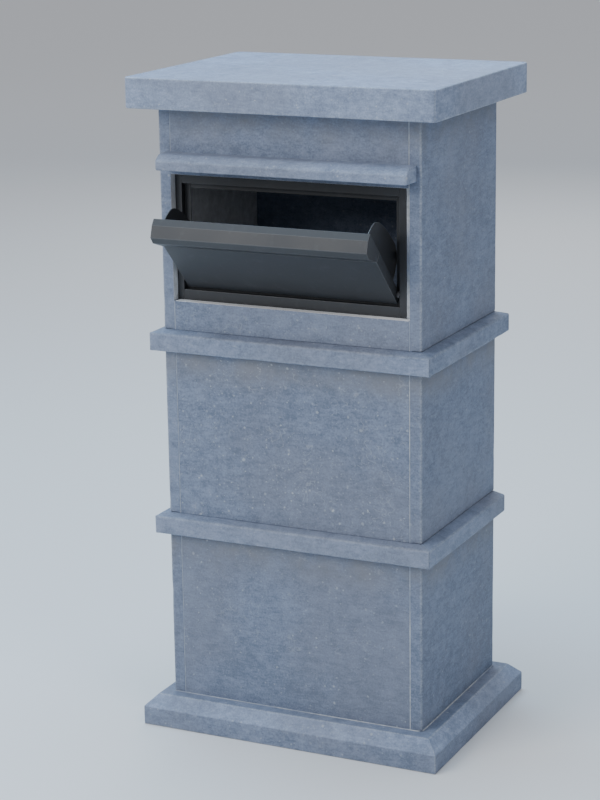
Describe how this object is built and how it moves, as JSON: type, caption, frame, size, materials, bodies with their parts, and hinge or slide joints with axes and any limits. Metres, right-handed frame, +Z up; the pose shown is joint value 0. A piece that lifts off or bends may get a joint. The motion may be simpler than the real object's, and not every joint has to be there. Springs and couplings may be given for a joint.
{
  "type": "stone pillar parcel box",
  "caption": "Free-standing stone pillar parcel box with a tilting steel hopper in front, two stone bands, an overhanging cap and base, and a lockable collection door behind.",
  "frame": {"origin": "centre of the base slab's underside, on the ground", "axes": "+Z up the pillar, -Y out of the hopper's front face, +X to the right seen from the front"},
  "size_m": [0.54, 0.4678, 1.11],
  "materials": {
    "stone": "honed blue-grey limestone with fine pale flecks",
    "coat": "satin anthracite powder coat",
    "steel": "turned stainless steel",
    "zinc": "bright zinc plate",
    "rubber": "matt black",
    "nylon": "matt black"
  },
  "bodies": {
    "pillar": {"anti_theft_hood": "coat", "base_slab": "stone", "cap_slab": "stone", "compartment_floor": "coat", "door_frame": "coat", "door_seal": "rubber", "drip_moulding": "stone", "hinge_lower_fixed": "zinc", "hinge_upper_fixed": "zinc", "insert_frame": "coat", "jamb_packer": "stone", "lintel_panel": "stone", "lower_band_front": "stone", "lower_band_left": "stone", "lower_band_right": "stone", "lower_front_panel": "stone", "lower_side_left": "stone", "lower_side_right": "stone", "middle_front_panel": "stone", "middle_side_left": "stone", "middle_side_right": "stone", "open_stop_left": "rubber", "open_stop_right": "rubber", "pivot_bush_left": "nylon", "pivot_bush_right": "nylon", "pivot_pin_left": "steel", "pivot_pin_right": "steel", "sill_panel": "stone", "upper_back_panel": "stone", "upper_band_back": "stone", "upper_band_front": "stone", "upper_band_left": "stone", "upper_band_right": "stone", "upper_side_left": "stone", "upper_side_right": "stone"},
    "hopper": {"hopper_cheek_left": "coat", "hopper_cheek_right": "coat", "hopper_liner": "coat", "hopper_lip": "coat", "hopper_skin": "coat"},
    "door": {"door_leaf": "coat", "door_backing": "coat", "hinge_lower_moving": "zinc", "hinge_upper_moving": "zinc", "lock_body": "zinc", "lock_nut": "zinc"},
    "lock": {"lock_plug": "steel", "lock_cam": "zinc", "cam_screw": "steel"}
  },
  "joints": [
    {"name": "hopper_tilt", "type": "hinge", "parent": "pillar", "child": "hopper", "pos_m": [-0.0055, -0.1463, 0.778], "axis": [1, 0, 0], "range_deg": [-45, 0]},
    {"name": "door_swing", "type": "hinge", "parent": "pillar", "child": "door", "pos_m": [-0.2, 0.1655, 0.3545], "axis": [0, 0, 1], "range_deg": [0, 110]},
    {"name": "lock_turn", "type": "hinge", "parent": "door", "child": "lock", "pos_m": [0.165, 0.1603, 0.3545], "axis": [0, 1, 0], "range_deg": [0, 90]}
  ]
}
